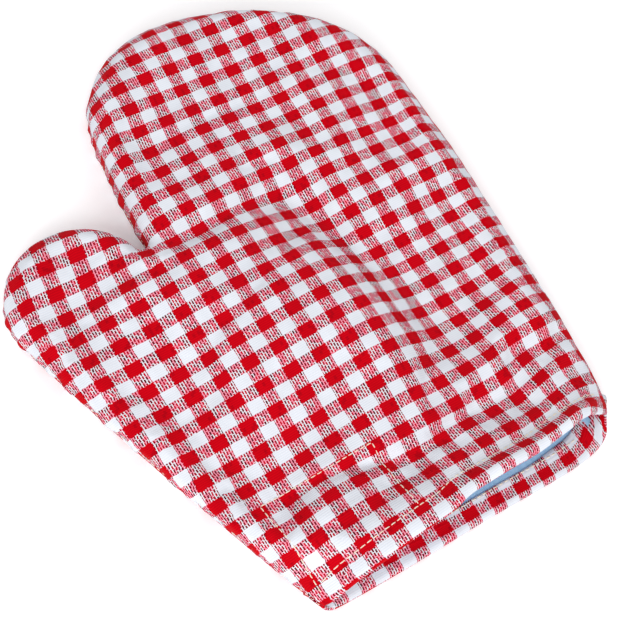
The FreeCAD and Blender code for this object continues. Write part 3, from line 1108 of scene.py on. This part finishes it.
def stitch_faces(first):
    """The faces of a stitch whose points start at a number."""
    faces = []
    for ring in range(STITCH_RINGS - 1):
        for side in range(STITCH_SIDES):
            a = first + ring * STITCH_SIDES + side
            b = first + ring * STITCH_SIDES + (side + 1) % STITCH_SIDES
            faces.append([a, b, b + STITCH_SIDES, a + STITCH_SIDES])
    last = first + (STITCH_RINGS - 1) * STITCH_SIDES
    faces.append([first + side for side in range(STITCH_SIDES)][::-1])
    faces.append([last + side for side in range(STITCH_SIDES)])
    return faces


def stitches(name, runs):
    """One mesh of separate stitches.  Each run is a row of needle holes and their normals."""
    points, faces, coordinates = [], [], []
    for holes, normals in runs:
        for k in range(len(holes) - 1):
            if np.linalg.norm(holes[k + 1] - holes[k]) < 0.5:
                continue
            up = normals[k] + normals[k + 1]
            faces += stitch_faces(len(points))
            thread, places = one_stitch(holes[k], holes[k + 1], up / np.linalg.norm(up))
            points += thread
            coordinates += places
    return make_object(name, np.array(points), faces, np.array(coordinates))


def surface_of(piece):
    """A search tree of a piece's finished surface, in millimetres."""
    tree = bpy.context.evaluated_depsgraph_get()
    done = piece.evaluated_get(tree)
    mesh = done.to_mesh()
    points = np.empty(len(mesh.vertices) * 3, np.float32)
    mesh.vertices.foreach_get("co", points)
    points = points.reshape(-1, 3) / MM
    faces = [tuple(p.vertices) for p in mesh.polygons]
    done.to_mesh_clear()
    return BVHTree.FromPolygons([tuple(p) for p in points], faces)


def dropped(surface, flat, from_z, down=True):
    """Where lines straight down, or up, from plan points meet a surface, with its normals."""
    spots, normals = [], []
    for x, y in flat:
        where, normal, _, _ = surface.ray_cast((x, y, from_z), (0, 0, -1 if down else 1))
        if where is not None:
            if (normal.z > 0) != down:
                normal = -normal
            spots.append(tuple(where))
            normals.append(tuple(normal))
    return np.array(spots), np.array(normals)


# ---- Building the mitt ----------------------------------------------------------------

def outer_cloth(side, panel, material, hem_depth):
    """One side's gingham, with its hem."""
    piece = cloth_piece(side + "_cloth", panel, hem_depth)
    return finish_piece(piece, material, [side + "_shell"], CLOTH, 1)


def padding(side, panel, material):
    """One side's wadding."""
    points, faces = panel.layer(WADDING_FACE, WADDING_INSET, WADDING_START)
    piece = make_object(side + "_padding", points, panel.turned(faces), panel.cloth)
    return finish_piece(piece, material, [side + "_wadding"], WADDING)


def lining(side, panel, material):
    """One side's lining, which starts under the hem's inner edge."""
    start = PALM_HEM_DEPTH - HEM_THICK / 2 - LAP
    points, faces = panel.layer(LINING_FACE, LINING_INSET, start)
    piece = make_object(side + "_lining_cloth", points, panel.turned(faces), panel.cloth)
    return finish_piece(piece, material, [side + "_lining"], LINING)


def cuff_patch(back, material):
    """A patch of lining cloth behind the stitched rectangle."""
    points, faces = back.layer(PATCH_FACE, LINING_INSET, HEM_DEPTH - HEM_THICK / 2 + LAP)
    x, y = back.flat.T
    covered = (x > PATCH_LEFT_X) & (x < PATCH_RIGHT_X) & (y < PATCH_TOP_Y)
    faces = faces[covered[faces].all(axis=1)]
    piece = make_object("patch_cloth", points, back.turned(faces), back.cloth)
    return finish_piece(piece, material, ["cuff_patch"], LINING)


def cut_panel(edge, face, outward):
    """One side of the mitt, settled and laid flat."""
    panel = Panel(edge, face, outward)
    panel.settle()
    panel.cloth = thread_lines(panel)
    return panel


def build():
    back = cut_panel(BACK_EDGE_LINE, back_face, 1)
    palm = cut_panel(PALM_EDGE_LINE, palm_face, -1)
    blue = plain_weave("blue_lining", LINING_BLUE, LINING_SHADE_AND_SLUB, 0.7, 0.06)
    fluff = wadding_material()
    back_cloth = outer_cloth("back", back, gingham("gingham_back", ROW_Y), back_hem_depth)
    palm_cloth = outer_cloth("palm", palm, gingham("gingham_palm", PALM_ROW_Y), palm_hem_depth)
    back_padding = padding("back", back, fluff)
    back_lining = lining("back", back, blue)
    palm_padding = padding("palm", palm, fluff)
    palm_lining = lining("palm", palm, blue)
    patch = cuff_patch(back, blue)
    sew(surface_of(back_cloth), surface_of(palm_cloth))
    declare_sheet(back_cloth)
    declare_sheet(palm_cloth)
    declare_sheet(back_lining)
    declare_sheet(palm_lining)
    declare_sheet(patch)


def declare_sheet(piece):
    """Reads a piece's cloth coordinates as laid flat, in metres, and works out its mesh's triangles.
    """
    mesh = piece.data
    flat = np.empty(len(mesh.vertices) * 3, np.float32)
    mesh.attributes["cloth"].data.foreach_get("vector", flat)
    flat = flat.reshape(-1, 3)[:, :2] * MM
    mesh.calc_loop_triangles()


def hem_stitch_line(edge, ends):
    """Needle holes in plan along the hem of one side."""
    line = edge + sideways(edge) * (HEM_STITCH - HEM_THICK / 2)
    return evenly(line[ends[0]:ends[1]], STITCH_PITCH)


def back_hem_stitches(surface):
    """The row through the back's hem."""
    holes = dropped(surface, hem_stitch_line(BACK_EDGE_LINE, BACK_STITCH_ENDS), 60.0)
    return stitches("back_hem_stitches", [holes])


def palm_hem_stitches(surface):
    """The row through the palm's hem, seen in the mouth and from below."""
    line = hem_stitch_line(PALM_EDGE_LINE, PALM_STITCH_ENDS)
    runs = [dropped(surface, line, 9.0), dropped(surface, line, -5.0, False)]
    return stitches("palm_hem_stitches", runs)


def patch_stitches(surface):
    """Three sides of the rectangle that holds the patch."""
    runs = []
    for start, end in zip(PATCH_STITCH_LINE, PATCH_STITCH_LINE[1:]):
        line = evenly(np.array([start, end]), STITCH_PITCH)
        runs.append(dropped(surface, line, 60.0))
    return stitches("patch_stitches", runs)


def side_seam_stitches():
    """The thread in the groove of the side seam."""
    line = evenly(SEAM - SEAM_OUT * (SEAM_DIP + 0.1), STITCH_PITCH)
    holes = np.column_stack([line, np.full(len(line), SEAM_Z)])
    out = SEAM_OUT[[int(np.argmin(np.linalg.norm(SEAM - p, axis=1))) for p in line]]
    normals = np.column_stack([out, np.zeros(len(out))])
    return stitches("side_seam_stitches", [(holes, normals)])


def sew(back_surface, palm_surface):
    """All the stitching, laid on the finished cloth."""
    thread = thread_material()
    rows = [
        (back_hem_stitches(back_surface), "back_hem_thread"),
        (palm_hem_stitches(palm_surface), "palm_hem_thread"),
        (patch_stitches(back_surface), "patch_thread"),
        (side_seam_stitches(), "side_seam_thread"),
    ]
    for piece, node in rows:
        finish_piece(piece, thread, [node])


# ---- Stage, light and camera ----------------------------------------------------------

FLOOR_SIZE = 16.0
FLOOR_DROP = 0.0003
FLOOR_WHITE = rgb(252, 252, 253)
FLOOR_GLOW = 0.12
WORLD_LIGHT = 0.6
KEY_LIGHT = ((-0.7, -0.9, 0.9), 0.8, 15.0)     # place, size and power
FILL_LIGHT = ((0.8, 0.4, 1.2), 1.0, 4.0)
CAMERA_AIM = (1.1, -29.4, 24.0)
CAMERA_AWAY = 536.0
CAMERA_TURN = -44.0
CAMERA_RISE = 60.9
CAMERA_ROLL = 15.3
CAMERA_LENS = 70.0
CAMERA_SENSOR = 36.0


def stage():
    """A plain pale floor."""
    half = FLOOR_SIZE / 2
    mesh = bpy.data.meshes.new("floor")
    corners = [(-half, -half, 0), (half, -half, 0), (half, half, 0), (-half, half, 0)]
    mesh.from_pydata(corners, [], [(0, 1, 2, 3)])
    floor = bpy.data.objects.new("floor", mesh)
    floor.location = (0, 0, -FLOOR_DROP)
    bpy.context.scene.collection.objects.link(floor)
    n = Nodes("pale_floor")
    n.shader.inputs["Base Color"].default_value = FLOOR_WHITE
    n.shader.inputs["Roughness"].default_value = 0.9
    n.shader.inputs["Emission Color"].default_value = (1, 1, 1, 1)
    n.shader.inputs["Emission Strength"].default_value = FLOOR_GLOW
    floor.data.materials.append(n.material)


def area_light(name, place, size, power):
    """A soft square light aimed at the mitt."""
    light = bpy.data.lights.new(name, "AREA")
    light.shape = "SQUARE"
    light.size = size
    light.energy = power
    lamp = bpy.data.objects.new(name, light)
    lamp.location = place
    lamp.rotation_mode = "QUATERNION"
    lamp.rotation_quaternion = (-Vector(place)).to_track_quat("-Z", "Y")
    bpy.context.scene.collection.objects.link(lamp)


def lights():
    """An even white sky, a key light from the thumb's side and a weaker fill."""
    world = bpy.data.worlds.new("studio")
    bpy.context.scene.world = world
    world.use_nodes = True
    world.node_tree.nodes["Background"].inputs["Color"].default_value = (1, 1, 1, 1)
    world.node_tree.nodes["Background"].inputs["Strength"].default_value = WORLD_LIGHT
    area_light("key", *KEY_LIGHT)
    area_light("fill", *FILL_LIGHT)
    bpy.context.scene.view_settings.view_transform = "Standard"


def camera():
    """Looks down on the mitt from beyond its thumb side of the cuff."""
    turn, rise_angle = math.radians(CAMERA_TURN), math.radians(CAMERA_RISE)
    back = Vector((math.sin(turn) * math.cos(rise_angle), -math.cos(turn) * math.cos(rise_angle),
                   math.sin(rise_angle)))
    lens = bpy.data.cameras.new("camera")
    lens.lens = CAMERA_LENS
    lens.sensor_width = CAMERA_SENSOR
    seen = bpy.data.objects.new("camera", lens)
    seen.location = (Vector(CAMERA_AIM) + back * CAMERA_AWAY) * MM
    seen.rotation_mode = "QUATERNION"
    level = (-back).to_track_quat("-Z", "Y")
    seen.rotation_quaternion = level @ Quaternion((0, 0, 1), math.radians(CAMERA_ROLL))
    bpy.context.scene.collection.objects.link(seen)
    bpy.context.scene.camera = seen


camera()
lights()
stage()
build()
